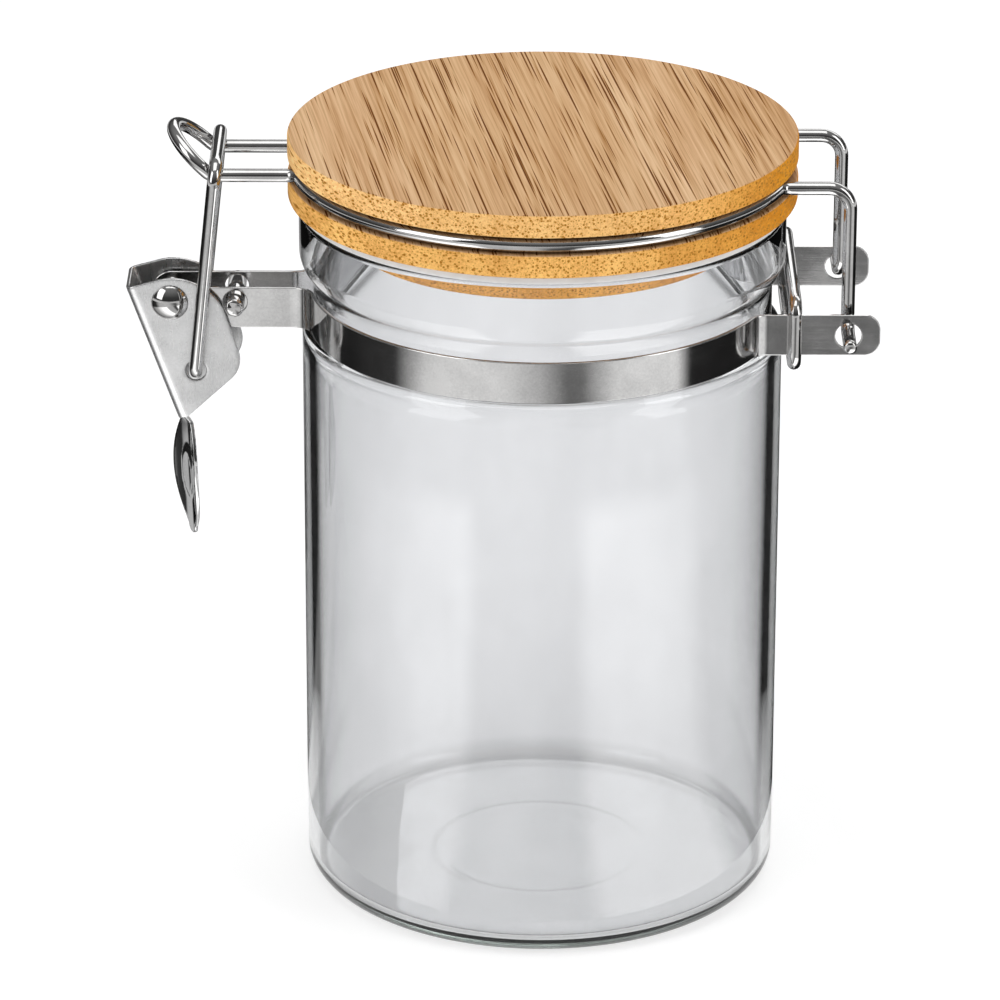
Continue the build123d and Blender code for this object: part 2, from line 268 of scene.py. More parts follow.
def rounded_path(corners, radii, steps=10, support=0.0):
    """Points along straight runs with an arc at each inner corner; works in 2-D and 3-D."""
    points = [Vector(corners[0])]
    for before, corner, after, radius in zip(corners, corners[1:], corners[2:], radii):
        corner = Vector(corner)
        arriving = (corner - Vector(before)).normalized()
        leaving = (Vector(after) - corner).normalized()
        turn = arriving.angle(leaving)
        start = corner - arriving * radius * tan(turn / 2)
        inwards = (leaving - arriving * arriving.dot(leaving)).normalized()
        centre = start + inwards * radius
        if support:
            points.append(start - arriving * support)
        for k in range(steps + 1):
            angle = turn * k / steps
            points.append(centre + radius * (arriving * sin(angle) - inwards * cos(angle)))
        if support:
            points.append(points[-1] + leaving * support)
    points.append(Vector(corners[-1]))
    return points


def lathe(outline, segments):
    """Vertices and faces of an outline of (radius, height) turned about Z."""
    vertices, rings = [], []
    for r, z in outline:
        if r < 1e-6:
            rings.append([len(vertices)] * segments)
            vertices.append((0, 0, z))
            continue
        rings.append(list(range(len(vertices), len(vertices) + segments)))
        for k in range(segments):
            angle = 2 * pi * k / segments
            vertices.append((r * cos(angle), r * sin(angle), z))
    faces = []
    for low, high in zip(rings, rings[1:]):
        for k in range(segments):
            j = (k + 1) % segments
            faces.append(list(dict.fromkeys([low[k], low[j], high[j], high[k]])))
    return vertices, faces


def even_path(points, step):
    """The same line with its long straight runs divided, so that it shades evenly."""
    result = [Vector(points[0])]
    for a, b in zip(points, points[1:]):
        a, b = Vector(a), Vector(b)
        pieces = max(1, ceil((b - a).length / step))
        result += [a.lerp(b, (k + 1) / pieces) for k in range(pieces)]
    return result


def bridge(a, b, count):
    """Faces between two closed rings of points, the rings' first points being a and b."""
    return [[a + j, a + (j + 1) % count, b + (j + 1) % count, b + j] for j in range(count)]


def tube(points, radius, sides=24, closed=False):
    """Round wire along points; an open wire gets chamfered, slightly crowned ends."""
    around = [points[-1], *points, points[0]] if closed else [points[0], *points, points[-1]]
    tangents = [(after - before).normalized() for before, after in zip(around, around[2:])]
    side = tangents[0].orthogonal().normalized()
    rows = []
    for point, tangent in zip(points, tangents):
        side = (side - tangent * side.dot(tangent)).normalized()
        rows.append((point, tangent, side, radius))
    if not closed:
        face_r = radius - WIRE_CHAMFER
        steps = ((0.0, face_r * 0.9), (WIRE_CROWN, face_r), (WIRE_CHAMFER, radius))
        point, tangent, side, _ = rows[0]
        first = [(point + tangent * depth, tangent, side, r) for depth, r in steps]
        point, tangent, side, _ = rows[-1]
        last = [(point - tangent * depth, tangent, side, r) for depth, r in steps[::-1]]
        rows = first + rows[1:-1] + last
    vertices = []
    for point, tangent, side, r in rows:
        up = tangent.cross(side)
        for j in range(sides):
            angle = 2 * pi * j / sides
            vertices.append(point + r * (side * cos(angle) + up * sin(angle)))
    starts = list(range(0, len(vertices), sides)) + [0] * closed
    faces = [face for a, b in zip(starts, starts[1:]) for face in bridge(a, b, sides)]
    if not closed:
        faces += [list(range(start, start + sides)) for start in (0, starts[-1])]
    return vertices, faces


def inside(point, loop):
    """Whether a flat point lies inside a closed loop."""
    crossed = 0
    for a, b in zip(loop, loop[1:] + loop[:1]):
        if (a[1] > point[1]) != (b[1] > point[1]):
            crossed += point[0] < a[0] + (point[1] - a[1]) * (b[0] - a[0]) / (b[1] - a[1])
    return crossed % 2 == 1


def divided(loop, step):
    """A closed loop with its long edges divided."""
    result = []
    for a, b in zip(loop, loop[1:] + loop[:1]):
        pieces = max(1, ceil(hypot(b[0] - a[0], b[1] - a[1]) / step))
        for k in range(pieces):
            result.append((a[0] + (b[0] - a[0]) * k / pieces, a[1] + (b[1] - a[1]) * k / pieces))
    return result


def outward_normals(loop, sign):
    """Flat normals at a loop's points, away from the material."""
    normals = []
    for before, after in zip(loop[-1:] + loop[:-1], loop[1:] + loop[:1]):
        along = (Vector(after) - Vector(before)).normalized()
        normals.append(Vector((along.y, -along.x)) * sign)
    return normals


def area_sign(loop):
    """1 for a loop that runs anticlockwise, or else -1."""
    double_area = sum(a[0] * b[1] - b[0] * a[1] for a, b in zip(loop, loop[1:] + loop[:1]))
    return 1 if double_area > 0 else -1


def rounded_edges(loops, thickness, edge_r, steps=3):
    """The rounded edges of a sheet, round its outline and then round each hole.

    Gives points, normals and faces, and for each loop its number of points and the places of the
    first points of its uppermost and lowermost rings.
    """
    points, normals, faces, ends = [], [], [], []
    for n, loop in enumerate(loops):
        count = len(loop)
        out = outward_normals(loop, area_sign(loop) * (1 if n == 0 else -1))
        starts = {1: [], -1: []}
        for side in (1, -1):
            for k in range(steps + 1):
                angle = pi / 2 * k / steps
                inset = edge_r * (1 - sin(angle))
                height = side * (thickness / 2 - edge_r * (1 - cos(angle)))
                starts[side].append(len(points))
                for p, o in zip(loop, out):
                    points.append((p[0] - o.x * inset, p[1] - o.y * inset, height))
                    normals.append((o.x * sin(angle), o.y * sin(angle), side * cos(angle)))
        ends.append((count, starts[1][0], starts[-1][0]))
        order = starts[1] + starts[-1][::-1]
        for a, b in zip(order, order[1:]):
            faces += bridge(a, b, count)
    return points, normals, faces, ends


def within(point, loops):
    """Whether a flat point lies inside the first loop and outside the others."""
    return inside(point, loops[0]) and not any(inside(point, hole) for hole in loops[1:])


def grid_points(loops, step):
    """Even points inside the first loop and outside the others, clear of the loops' own points."""
    border = [p for loop in loops for p in loop]
    us = [p.x for p in border]
    vs = [p.y for p in border]
    width, depth = max(us) - min(us), max(vs) - min(vs)
    columns, rows = ceil(width / step), max(2, ceil(depth / step))
    result = []
    for i in range(1, columns):
        for j in range(1, rows):
            p = Vector((min(us) + width * i / columns, min(vs) + depth * j / rows))
            if within(p, loops) and min((p - b).length for b in border) >= 0.45 * step:
                result.append(p)
    return result


def sheet_blank(outline, holes, thickness, edge_r, step):
    """A flat sheet with rounded edges: points as (u, v, w), normals, and faces."""
    loops = [divided(outline, step)] + [divided(hole, step) for hole in holes]
    points, normals, faces, ends = rounded_edges(loops, thickness, edge_r)
    flat, upper, lower, edges, top_loops = [], [], {}, [], []
    for count, top, bottom in ends:
        first = len(flat)
        top_loops.append([Vector(points[top + j][:2]) for j in range(count)])
        flat += top_loops[-1]
        upper += range(top, top + count)
        lower.update((top + j, bottom + j) for j in range(count))
        edges += [(first + j, first + (j + 1) % count) for j in range(count)]
    grid = grid_points(top_loops, step)
    start = len(points)
    flat += grid
    upper += range(start, start + len(grid))
    lower.update((start + j, start + len(grid) + j) for j in range(len(grid)))
    for side in (1, -1):
        points += [(p.x, p.y, side * thickness / 2) for p in grid]
        normals += [(0, 0, side)] * len(grid)
    result = geometry.delaunay_2d_cdt(flat, edges, [], 1, 1e-5, True)
    origin = [ids[0] if ids else None for ids in result[3]]
    for triangle in result[2]:
        corners = [origin[v] for v in triangle]
        if None in corners:
            continue
        a, b, c = (flat[i] for i in corners)
        if abs((b - a).cross(c - a)) < 0.01 * step**2 or not within((a + b + c) / 3, top_loops):
            continue
        top = [upper[i] for i in corners]
        faces.append(top)
        faces.append([lower[i] for i in reversed(top)])
    return points, normals, faces


def bent(points, normals, frame_at):
    """A blank's points and normals carried onto a bent surface.

    frame_at(u, v, w) gives the place and the directions of u, v and w there.
    """
    placed, turned = [], []
    for (u, v, w), normal in zip(points, normals):
        place, along_u, along_v, along_w = frame_at(u, v, w)
        placed.append(place)
        turned.append((along_u * normal[0] + along_v * normal[1] + along_w * normal[2]).normalized())
    return placed, turned


# ---- glass, lid and seal

def jar_outline():
    """The wall's section as one closed outline: outside upwards, over the rim, inside down."""
    rim_r = WALL / 2
    mouth_in, neck_in, body_in = MOUTH_R - WALL, NECK_R - WALL, BODY_R - WALL
    slope = [(1.6, 0), (1.0, 0.01), (0.5, FOOT_RING_DEPTH * 0.8)]
    foot = [(0, 0), (12, 0)] + [(FOOT_RING_R - r, z) for r, z in slope]
    foot += [(FOOT_RING_R, FOOT_RING_DEPTH)] + [(FOOT_RING_R + r, z) for r, z in slope[::-1]]
    foot += [(32, 0), (BODY_R - BASE_CORNER_R - 0.6, 0)]
    base = arc((BODY_R - BASE_CORNER_R, BASE_CORNER_R), BASE_CORNER_R, -90, 0, 14)
    wall = [(BODY_R, z) for z in (BASE_CORNER_R + 0.8, 30, 60, 90, SHOULDER_Z - SHOULDER_R - 0.8)]
    shoulder = arc((BODY_R - SHOULDER_R, SHOULDER_Z - SHOULDER_R), SHOULDER_R, 0, 90, 10)
    shelf = arc((NECK_R + 0.5, SHOULDER_Z + 0.5), 0.5, -90, -180, 6)
    neck = s_curve((NECK_R, NECK_TOP_Z), (MOUTH_R, MOUTH_Z))
    rim = arc((MOUTH_R - rim_r, JAR_HEIGHT - rim_r), rim_r, 0, 180, 20)
    inner_mouth = s_curve((mouth_in, MOUTH_Z), (neck_in, NECK_TOP_Z))
    inner_neck = s_curve((neck_in, INNER_NECK_Z), (body_in, INNER_BODY_Z))
    inner_wall = [(body_in, z) for z in (116, 90, 60, 30, BASE_THICK + INNER_CORNER_R + 0.8)]
    centre = (body_in - INNER_CORNER_R, BASE_THICK + INNER_CORNER_R)
    corner = arc(centre, INNER_CORNER_R, 0, -90, 14)
    floor = [(r, BASE_THICK) for r in (centre[0] - 0.6, 35, 23, 12)] + [(0, BASE_THICK)]
    outside = foot + base + wall + shoulder + shelf + neck
    return outside + rim + inner_mouth + inner_neck + inner_wall + corner + floor


def build_jar():
    """The blown jar, its wall a closed outline turned about the axis."""
    vertices, faces = lathe(jar_outline(), 192)
    return new_object("jar_glass", vertices, faces, "canister", "glass_jar")


def build_lid():
    """Top disc, groove, lower disc and plug, each edge eased as if sanded."""
    corners = [
        (0, PLUG_BOTTOM_Z), (PLUG_TIP_R, PLUG_BOTTOM_Z), (PLUG_R, PLUG_SIDE_Z),
        (PLUG_R, DISC_BOTTOM_Z), (LID_R, DISC_BOTTOM_Z), (LID_R, GROOVE_BOTTOM_Z),
        (GROOVE_FLOOR_R, GROOVE_FLOOR_BOTTOM_Z), (GROOVE_FLOOR_R, GROOVE_FLOOR_TOP_Z),
        (LID_R, GROOVE_TOP_Z), (LID_R, LID_TOP_Z), (0, LID_TOP_Z),
    ]
    radii = [0.6, 0.6, 0.15, LID_EDGE_R, 0.4, 0.4, 0.4, 0.35, LID_EDGE_R]
    outline = [tuple(p) for p in rounded_path(corners, radii, steps=5, support=0.12)]
    outline[-1:-1] = [(r, LID_TOP_Z) for r in (42, 30, 15)]
    vertices, faces = lathe(outline, 256)
    return new_object("lid_wood", vertices, faces, "lid", "bamboo_lid")


def build_seal():
    """A flat ring with rounded edges, its outline begun halfway up the inner side."""
    low, high = SEAL_LOW[2], SEAL_HIGH[2]
    start = (SEAL_INNER_R, (low + high) / 2)
    corners = [start, (SEAL_INNER_R, low), (SEAL_R, low), (SEAL_R, high), (SEAL_INNER_R, high), start]
    outline = rounded_path(corners, [0.3, SEAL_ROUND, SEAL_ROUND, 0.3], steps=6)
    vertices, faces = lathe([tuple(p) for p in outline], 192)
    return new_object("seal_ring", vertices, faces, "lid", "lid_gasket")


# ---- wires and pins

def bend_centre_x(ring_r, bend_r, ear_y):
    """How far along X the bend lies that joins a ring to a straight run at ear_y."""
    return sqrt((ring_r + bend_r) ** 2 - (ear_y + bend_r) ** 2)


def plan_curve(ring_r, hinge_y, hinge_bend, latch_y, latch_bend, steps=200):
    """Front half of a ring with its two outward bends, as flat points from latch to hinge."""
    hinge_x = bend_centre_x(ring_r, hinge_bend, hinge_y)
    latch_x = bend_centre_x(ring_r, latch_bend, latch_y)
    hinge_angle = degrees(atan2(hinge_y + hinge_bend, hinge_x))
    latch_angle = degrees(atan2(latch_y + latch_bend, latch_x))
    latch = arc((-latch_x, -latch_y - latch_bend), latch_bend, 90, latch_angle, 12)
    ring = arc((0, 0), ring_r, 180 + latch_angle, 360 - hinge_angle, steps)
    hinge = arc((hinge_x, -hinge_y - hinge_bend), hinge_bend, 180 - hinge_angle, 90, 12)
    return latch + ring[1:] + hinge[1:]


def with_mirror(half):
    """A path through its own mirror image: from the back end, through y = 0, to the front end."""
    back = [Vector((p[0], -p[1], p[2])) for p in half[::-1]]
    return back[:-1] + list(half)


def lid_wire_path():
    """Round the lid's groove, with a raised nose for the bail and two hinge legs."""
    slope = radians(NOSE_SLOPE)
    outwards = Vector((-cos(slope), 0, sin(slope)))
    reach = NOSE_BEND_R * tan(slope / 2) + NOSE_STRAIGHT
    centre = Vector((NOSE_X, 0, WIRE_Z)) + outwards * reach
    forwards = Vector((0, -1, 0))
    nose = [
        centre + LATCH_ARM_Y * (outwards * cos(a) + forwards * sin(a))
        for a in (pi / 2 * k / 18 for k in range(19))
    ]
    curve = plan_curve(WIRE_RING_R, HINGE_ARM_Y, ARM_FILLET_R, LATCH_ARM_Y, ARM_FILLET_R)
    ring = [Vector((x, y, WIRE_Z)) for x, y in curve]
    corner = Vector((NOSE_X, -LATCH_ARM_Y, WIRE_Z))
    latch_arm = rounded_path([nose[-1], corner, ring[0]], [NOSE_BEND_R])
    leg = [(HINGE_X, -HINGE_ARM_Y, WIRE_Z), (HINGE_X, -HINGE_ARM_Y, HINGE_Z)]
    stub_end = (HINGE_X, -STUB_END_Y, HINGE_Z)
    hinge_arm = rounded_path([ring[-1], *leg, stub_end], [HINGE_BEND_R, STUB_BEND_R])
    half = nose[:-1] + latch_arm[:-1] + ring[:-1] + hinge_arm
    return even_path(with_mirror(half), WIRE_STEP)


def build_lid_wire():
    vertices, faces = tube(lid_wire_path(), WIRE_R)
    return new_object("lid_wire_bent", vertices, faces, "lid", "lid_wire")


def build_bail():
    corners = [
        (BAIL_TOP_X, 0, BAIL_TOP_Z), (BAIL_TOP_X, -BAIL_TOP_Y, BAIL_TOP_Z),
        (BAIL_X, -BAIL_FOOT_Y, BAIL_Z), (BAIL_X, -BAIL_END_Y, BAIL_Z),
    ]
    half = rounded_path(corners, [BAIL_TOP_BEND_R, BAIL_FOOT_BEND_R])
    vertices, faces = tube(even_path(with_mirror(half), WIRE_STEP), WIRE_R)
    return new_object("bail_wire", vertices, faces, "bail", "latch_bail")


def build_link_ring():
    low, high = RING_LOW[2] + WIRE_R, RING_HIGH[2] - WIRE_R
    loop = ((0, low), (-LINK_HALF_Y, low), (-LINK_HALF_Y, high), (LINK_HALF_Y, high),
            (LINK_HALF_Y, low), (0, low))
    corners = [(LINK_X, y, z) for y, z in loop]
    path = even_path(rounded_path(corners, [LINK_CORNER_R] * 4), WIRE_STEP)[:-1]
    vertices, faces = tube(path, WIRE_R, closed=True)
    return new_object("link_ring_wire", vertices, faces, "canister", "hinge_link_ring")


def along_y(vertices, x, z):
    """Turned pieces laid with their axis along Y, through (x, z)."""
    return [(x + a, c, z - b) for a, b, c in vertices]


def build_tie_pin():
    """Cropped rod: its ends are chamfered and a little uneven."""
    end = TIE_HIGH[1]
    outline = [(0, -end), (TIE_R - 0.75, -end), (TIE_R - 0.5, -end + 0.05)]
    outline += [(TIE_R - 0.08, -end + 0.42), (TIE_R, -end + 0.6), (TIE_R, 0)]
    outline += [(r, -z) for r, z in outline[::-1][1:]]
    vertices, faces = lathe(outline, 40)
    uneven = []
    for x, y, z in vertices:
        wave = 0.5 + 0.5 * sin(2.1 * x + 0.7) * cos(2.7 * y - 0.4)
        depth = 0.28 * wave * (abs(z) > end - 0.1)
        uneven.append((x, y, z - depth * (1 if z > 0 else -1)))
    placed = along_y(uneven, TIE_X, TIE_Z)
    return new_object("tie_pin_rod", placed, faces, "canister", "latch_tie_pin")


def build_rivet():
    """Two domed heads on one shank."""
    top = RIVET_HIGH[1]
    seat = top - RIVET_HEAD_HEIGHT
    dome_r = (RIVET_HEAD_R**2 + RIVET_HEAD_HEIGHT**2) / (2 * RIVET_HEAD_HEIGHT)
    spread = degrees(atan2(RIVET_HEAD_R, dome_r - RIVET_HEAD_HEIGHT))
    dome = arc((0, top - dome_r), dome_r, 90, 90 - spread, 14)
    half = dome + [(RIVET_HEAD_R - 0.1, seat), (RIVET_R, seat), (RIVET_R, 0)]
    outline = half + [(r, -z) for r, z in half[::-1][1:]]
    vertices, faces = lathe([(max(r, 0), z) for r, z in outline], 48)
    placed = along_y(vertices, RIVET_X, RIVET_Z)
    return new_object("rivet_heads", placed, faces, "canister", "lever_rivet")


# ---- straps

def strap_line():
    """The strap's middle line in plan, from the latch end to the hinge end, with lengths."""
    curve = plan_curve(STRAP_R, HINGE_EAR_Y, HINGE_EAR_BEND_R, LATCH_EAR_Y, LATCH_EAR_BEND_R)
    points = [(BAND_LOW[0], -LATCH_EAR_Y)] + curve + [(BAND_HIGH[0], -HINGE_EAR_Y)]
    lengths = [0.0]
    for a, b in zip(points, points[1:]):
        lengths.append(lengths[-1] + hypot(b[0] - a[0], b[1] - a[1]))
    return points, lengths


def strap_frame(points, lengths):
    """Returns a function from (length, height, depth) to place and directions on the strap."""
    tangents = []
    for a, b in zip([points[0], *points], [*points[1:], points[-1]]):
        tangents.append(Vector((b[0] - a[0], b[1] - a[1], 0)).normalized())
    tangents[1] = tangents[0] = Vector((1, 0, 0))
    tangents[-2] = tangents[-1] = Vector((1, 0, 0))

    def frame_at(u, v, w):
        k = 0
        while k < len(lengths) - 2 and lengths[k + 1] < u:
            k += 1
        share = (u - lengths[k]) / (lengths[k + 1] - lengths[k])
        along = tangents[k].lerp(tangents[k + 1], share).normalized()
        outwards = Vector((along.y, -along.x, 0))
        a, b = points[k], points[k + 1]
        place = Vector((a[0] + (b[0] - a[0]) * share, a[1] + (b[1] - a[1]) * share, STRAP_LOW_Z + v))
        return place + outwards * w, along, Vector((0, 0, 1)), outwards

    return frame_at


def build_strap(name, node, side):
    """One strap half: pierced and rounded flat, then bent. side is 1 in front, -1 behind."""
    points, lengths = strap_line()
    total, height = lengths[-1], BAND_HIGH[2] - BAND_LOW[2]
    latch_r = height / 2 - 0.1
    outline = arc((latch_r, height - latch_r), latch_r, 90, 180, 12)
    outline += arc((latch_r, latch_r), latch_r, 180, 270, 12)
    round_x = total - HINGE_EAR_ROUND
    outline += arc((round_x, HINGE_EAR_ROUND), HINGE_EAR_ROUND, -90, 0, 12)
    outline += arc((round_x, height - HINGE_EAR_ROUND), HINGE_EAR_ROUND, 0, 90, 12)
    places = (
        (total - (BAND_HIGH[0] - HINGE_X), HINGE_Z, HINGE_HOLE_R),
        (TIE_X - BAND_LOW[0], TIE_Z, TIE_HOLE_R), (RIVET_X - BAND_LOW[0], RIVET_Z, RIVET_HOLE_R),
    )
    holes = [round_hole((u, z - STRAP_LOW_Z), radius) for u, z, radius in places]
    flat, normals, faces = sheet_blank(outline, holes, STRAP_THICK, STRAP_EDGE_R, STRAP_MESH_STEP)
    placed, turned = bent(flat, normals, strap_frame(points, lengths))
    placed = [(p.x, p.y * side, p.z) for p in placed]
    turned = [Vector((n.x, n.y * side, n.z)) for n in turned]
    return new_object(name, placed, faces, "canister", node, turned)


# ---- lever

LEVER_TOP = Vector(LEVER_BACK_TOP)
LEVER_DOWN = (Vector(LEVER_FOOT_BACK) - LEVER_TOP).normalized()
LEVER_INWARD = Vector((-LEVER_DOWN.y, LEVER_DOWN.x))
WEB_LENGTH = (Vector(LEVER_FOOT_BACK) - LEVER_TOP).length
WEB_HALF = LEVER_HALF_WIDTH - LEVER_BEND_R
BEND_MIDDLE_R = LEVER_BEND_R - LEVER_THICK / 2
BEND_LENGTH = BEND_MIDDLE_R * pi / 2


def cheek_to_flat(point):
    """A cheek point seen from the front, as (across, down) on the flat blank."""
    offset = Vector(point) - LEVER_TOP
    depth = max(offset.dot(LEVER_INWARD), 0.0)
    if depth >= LEVER_BEND_R:
        return WEB_HALF + BEND_LENGTH + depth - LEVER_BEND_R, offset.dot(LEVER_DOWN)
    return WEB_HALF + BEND_LENGTH * depth / LEVER_BEND_R, offset.dot(LEVER_DOWN)


def tab_side():
    """The tab's right-hand edge, from its neck to its tip, as (across, down from the neck)."""
    low = TAB_LENGTH - TAB_TIP_HALF_WIDTH
    widest = (TAB_HALF_WIDTH, 0.42 * TAB_LENGTH)
    shoulder = (TAB_TIP_HALF_WIDTH, low)
    rounding = (0.72 * TAB_TIP_HALF_WIDTH, low + 0.7 * TAB_TIP_HALF_WIDTH)
    side = three_point_arc((TAB_NECK_HALF_WIDTH, 0), widest, shoulder, 28)
    return side + three_point_arc(shoulder, rounding, (0, TAB_LENGTH), 6)[1:]


NECK_LENGTH = (
    Vector(TAB_NECK) - (Vector(LEVER_FOOT_BACK) + LEVER_INWARD * LEVER_THICK / 2)
).length


def lever_flat_outline():
    """The whole blank: web in the middle, a cheek on each side, and the tab below."""
    top = three_point_arc(LEVER_SHOULDER, LEVER_CROWN, LEVER_SIDE_TOP, 20)
    corner = three_point_arc(LEVER_SIDE_LOW, LEVER_CORNER, LEVER_CLIPPED, 10)
    cheek = [LEVER_BACK_TOP] + top + corner + [LEVER_FOOT_FRONT, LEVER_FOOT_BACK]
    right = [cheek_to_flat(p) for p in cheek]
    root = [(WEB_HALF - 0.4, WEB_LENGTH - 0.1)]
    root += arc((TAB_NECK_HALF_WIDTH + 1.5, WEB_LENGTH + 1.5), 1.5, -90, -180, 5)
    start = WEB_LENGTH + NECK_LENGTH
    right += root + [(x, start + y) for x, y in tab_side()]
    left = [(-x, y) for x, y in right[::-1]]
    return right + left[1:]


def smooth_step(x):
    """0 below 0, 1 above 1, and a smooth rise between."""
    x = min(max(x, 0.0), 1.0)
    return x * x * (3 - 2 * x)


def upright(flat):
    """A flat vector seen from the front, in space."""
    return Vector((flat[0], 0, flat[1]))


def lever_frame(u, v, w):
    """Place and directions on the bent lever, about the rivet, for a point of the blank."""
    outwards, down = upright(-LEVER_INWARD), upright(LEVER_DOWN)
    across = Vector((0, -1, 0))
    origin = Vector((RIVET_X, 0, RIVET_Z)) + upright(LEVER_TOP)
    origin -= outwards * LEVER_THICK / 2
    if v <= WEB_LENGTH or (abs(u) > WEB_HALF and v < WEB_LENGTH + NECK_LENGTH):
        side = 1 if u >= 0 else -1
        past = abs(u) - WEB_HALF
        if past <= 0:
            return origin + across * u + down * v + outwards * w, across, down, outwards
        turn = min(past / BEND_MIDDLE_R, pi / 2)
        normal = outwards * cos(turn) + across * side * sin(turn)
        forwards = across * cos(turn) - outwards * side * sin(turn)
        centre = origin + across * side * WEB_HALF + down * v - outwards * BEND_MIDDLE_R
        place = centre + normal * (BEND_MIDDLE_R + w)
        place -= outwards * max(past - BEND_LENGTH, 0)
        return place, forwards, down, normal
    neck = Vector((RIVET_X + TAB_NECK[0], 0, RIVET_Z + TAB_NECK[1]))
    twist = radians(TAB_TWIST)
    tab_across = Vector((sin(twist), -cos(twist), 0))
    tab_down = Vector((TAB_LEAN, 0, -TAB_LENGTH)).normalized()
    tab_down = (tab_down - tab_across * tab_down.dot(tab_across)).normalized()
    share = smooth_step((v - WEB_LENGTH) / NECK_LENGTH)
    along = down.lerp(tab_down, share).normalized()
    sideways = across.lerp(tab_across, share)
    sideways = (sideways - along * sideways.dot(along)).normalized()
    normal = along.cross(sideways)
    if normal.dot(outwards) < 0:
        normal = -normal
    if v < WEB_LENGTH + NECK_LENGTH:
        foot = origin + down * WEB_LENGTH
        middle = foot.lerp(neck, (v - WEB_LENGTH) / NECK_LENGTH)
    else:
        middle = neck + tab_down * (v - WEB_LENGTH - NECK_LENGTH)
    turn = share * u / TAB_TROUGH_R
    bowl = TAB_TROUGH_R * (1 - cos(turn))
    spread = TAB_TROUGH_R * sin(u / TAB_TROUGH_R) if share > 0.99 else u
    leaf = v - WEB_LENGTH - NECK_LENGTH - 0.46 * TAB_LENGTH
    oval = hypot(u / TAB_OVAL[0], leaf / TAB_OVAL[1])
    rise = TAB_OVAL_RISE * smooth_step((1.12 - oval) / 0.24)
    tilted = normal * cos(turn) - sideways * sin(turn)
    place = middle + sideways * spread + normal * (bowl + rise) + tilted * w
    return place, sideways * cos(turn) + normal * sin(turn), along, tilted


def build_lever():
    holes = []
    bail_place = (BAIL_X - RIVET_X, BAIL_Z - RIVET_Z)
    for place, radius in (((0, 0), RIVET_HOLE_R), (bail_place, BAIL_HOLE_R)):
        across, down = cheek_to_flat(place)
        for side in (1, -1):
            holes.append(round_hole((side * across, down), radius))
    flat, normals, faces = sheet_blank(
        lever_flat_outline(), holes, LEVER_THICK, LEVER_EDGE_R, LEVER_MESH_STEP)
    placed, turned = bent(flat, normals, lever_frame)
    return new_object("lever_pressed", placed, faces, "lever", "latch_lever")


# ---- material helpers

def add(tree, kind, values=None, **settings):
    """A new shader node with its settings, and its inputs set to values or linked to sockets."""
    node = tree.nodes.new("ShaderNode" + kind)
    for key, value in settings.items():
        setattr(node, key, value)
    for name, value in (values or {}).items():
        if isinstance(value, bpy.types.NodeSocket):
            tree.links.new(value, node.inputs[name])
        else:
            node.inputs[name].default_value = value
    return node


def new_material(name):
    material = bpy.data.materials.new(name)
    material.use_nodes = True
    material.node_tree.nodes.clear()
    return material, material.node_tree


def finish_material(tree, values):
    """The output of a Principled shader with these inputs."""
    shader = add(tree, "BsdfPrincipled", values)
    return add(tree, "OutputMaterial", {"Surface": shader.outputs["BSDF"]})


def coords(tree, scale=(1, 1, 1), turn=(0, 0, 0)):
    """Object coordinates in millimetres, turned and then scaled."""
    place = add(tree, "TexCoord").outputs["Object"]
    turned = add(tree, "Mapping", {"Vector": place, "Rotation": turn}).outputs["Vector"]
    sized = add(tree, "Mapping", {"Vector": turned, "Scale": [s / MM for s in scale]})
    return sized.outputs["Vector"]


def distance(tree, vector):
    """How far a place is from the origin."""
    return add(tree, "VectorMath", {0: vector}, operation="LENGTH").outputs["Value"]


def height_and_reach(tree):
    """Height above the foot and distance from the jar's axis, in millimetres."""
    split = add(tree, "SeparateXYZ", {"Vector": coords(tree)})
    flat = add(tree, "CombineXYZ", {"X": split.outputs["X"], "Y": split.outputs["Y"]})
    return split.outputs["Z"], distance(tree, flat.outputs["Vector"])


def noise(tree, vector, scale, detail=3.0, roughness=0.5):
    values = {"Vector": vector, "Scale": scale, "Detail": detail, "Roughness": roughness}
    return add(tree, "TexNoise", values).outputs["Fac"]


def ramp(tree, value, stops):
    """A colour ramp; each stop is (position, colour or grey)."""
    node = add(tree, "ValToRGB", {"Fac": value})
    elements = node.color_ramp.elements
    while len(elements) < len(stops):
        elements.new(0.5)
    for element, (place, colour) in zip(elements, stops):
        element.position = place
        if isinstance(colour, (int, float)):
            colour = (colour, colour, colour)
        element.color = (*colour, 1)
    return node.outputs["Color"]


def fit(tree, value, low, high, to_low=0.0, to_high=1.0):
    """A value moved from one range to another and clamped."""
    values = {"Value": value, "From Min": low, "From Max": high, "To Min": to_low, "To Max": to_high}
    return add(tree, "MapRange", values).outputs["Result"]


def maths(tree, operation, a, b=0.0):
    return add(tree, "Math", {0: a, 1: b}, operation=operation).outputs["Value"]


def times(tree, a, b):
    return maths(tree, "MULTIPLY", a, b)


def plus(tree, a, b):
    return maths(tree, "ADD", a, b)


def mixed(tree, factor, a, b, blend="MIX"):
    """Two colours mixed; the node's first input is its factor, and 6 and 7 are its colours."""
    values = {0: factor, 6: a, 7: b}
    return add(tree, "Mix", values, data_type="RGBA", blend_type=blend).outputs[2]


def tinted(tree, a, b):
    """One colour multiplied by another."""
    return mixed(tree, 1.0, a, b, "MULTIPLY")


def bump(tree, height, strength, distance_mm):
    values = {"Height": height, "Strength": strength, "Distance": distance_mm * MM}
    return add(tree, "Bump", values).outputs["Normal"]


# ---- materials

